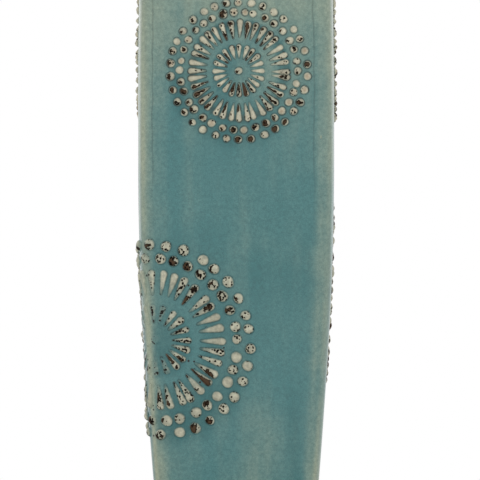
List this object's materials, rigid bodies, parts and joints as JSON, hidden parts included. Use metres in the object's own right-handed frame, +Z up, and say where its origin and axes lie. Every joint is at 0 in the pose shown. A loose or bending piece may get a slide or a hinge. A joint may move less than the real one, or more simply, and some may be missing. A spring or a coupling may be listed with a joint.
{
  "type": "square pottery vase",
  "caption": "Tall four-sided slab-built pottery vase with rounded corners, a square open mouth, a foot ring and raised slip rosettes on its faces and corners, under a teal glaze.",
  "frame": {"origin": "middle of the foot, on the plane of the table", "axes": "+Z up along the vase, -Y towards the front face, +X to the right of it"},
  "size_m": [0.1334, 0.1336, 0.406],
  "materials": {
    "glaze": "glossy teal glaze, paler where it thins at the corners and the lip",
    "slip": "cream slip under a thin glaze, worn to brown in patches",
    "bare_clay": "matt unglazed earthenware"
  },
  "bodies": {
    "root": {"foot_ring": "bare_clay", "base_slab": "glaze", "front_wall": "glaze", "right_wall": "glaze", "back_wall": "glaze", "left_wall": "glaze", "front_rosette_dot": "slip", "front_rosette_inner_rays": "slip", "front_rosette_outer_rays": "slip", "front_rosette_inner_beads": "slip", "front_rosette_outer_beads": "slip", "right_rosette_dot": "slip", "right_rosette_inner_rays": "slip", "right_rosette_outer_rays": "slip", "right_rosette_inner_beads": "slip", "right_rosette_outer_beads": "slip", "back_rosette_dot": "slip", "back_rosette_inner_rays": "slip", "back_rosette_outer_rays": "slip", "back_rosette_inner_beads": "slip", "back_rosette_outer_beads": "slip", "left_rosette_dot": "slip", "left_rosette_inner_rays": "slip", "left_rosette_outer_rays": "slip", "left_rosette_inner_beads": "slip", "left_rosette_outer_beads": "slip", "front_left_rosette_dot": "slip", "front_left_rosette_inner_rays": "slip", "front_left_rosette_outer_rays": "slip", "front_left_rosette_inner_beads": "slip", "front_left_rosette_outer_beads": "slip", "back_right_rosette_dot": "slip", "back_right_rosette_inner_rays": "slip", "back_right_rosette_outer_rays": "slip", "back_right_rosette_inner_beads": "slip", "back_right_rosette_outer_beads": "slip"}
  },
  "joints": []
}
